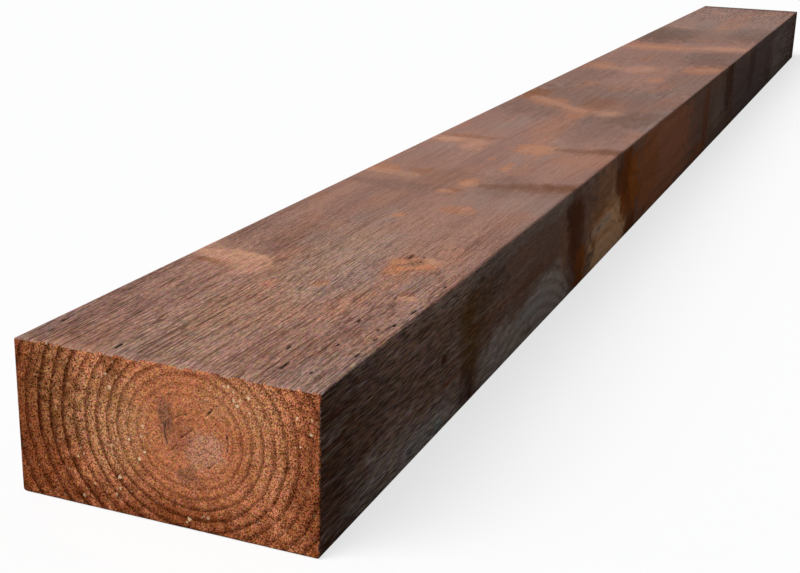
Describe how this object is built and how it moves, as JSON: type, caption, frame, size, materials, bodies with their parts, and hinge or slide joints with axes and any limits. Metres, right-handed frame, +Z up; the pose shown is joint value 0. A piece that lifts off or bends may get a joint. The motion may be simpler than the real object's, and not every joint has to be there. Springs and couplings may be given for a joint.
{
  "type": "railway sleeper",
  "caption": "Rectangular sawn softwood sleeper with eased long edges and square-cut ends, brown treated, for garden edging, raised beds, steps and low walls.",
  "frame": {"origin": "middle of the bed face, on which the sleeper lies", "axes": "+X along the grain, from the end nearest in the picture to the far end; +Y across the broad face, to the picture's left; +Z up"},
  "size_m": [2.4, 0.2, 0.1],
  "materials": {
    "treated_softwood": "rough sawn, brown pressure treatment, bare end grain"
  },
  "bodies": {
    "root": {"sleeper": "treated_softwood"}
  },
  "joints": []
}
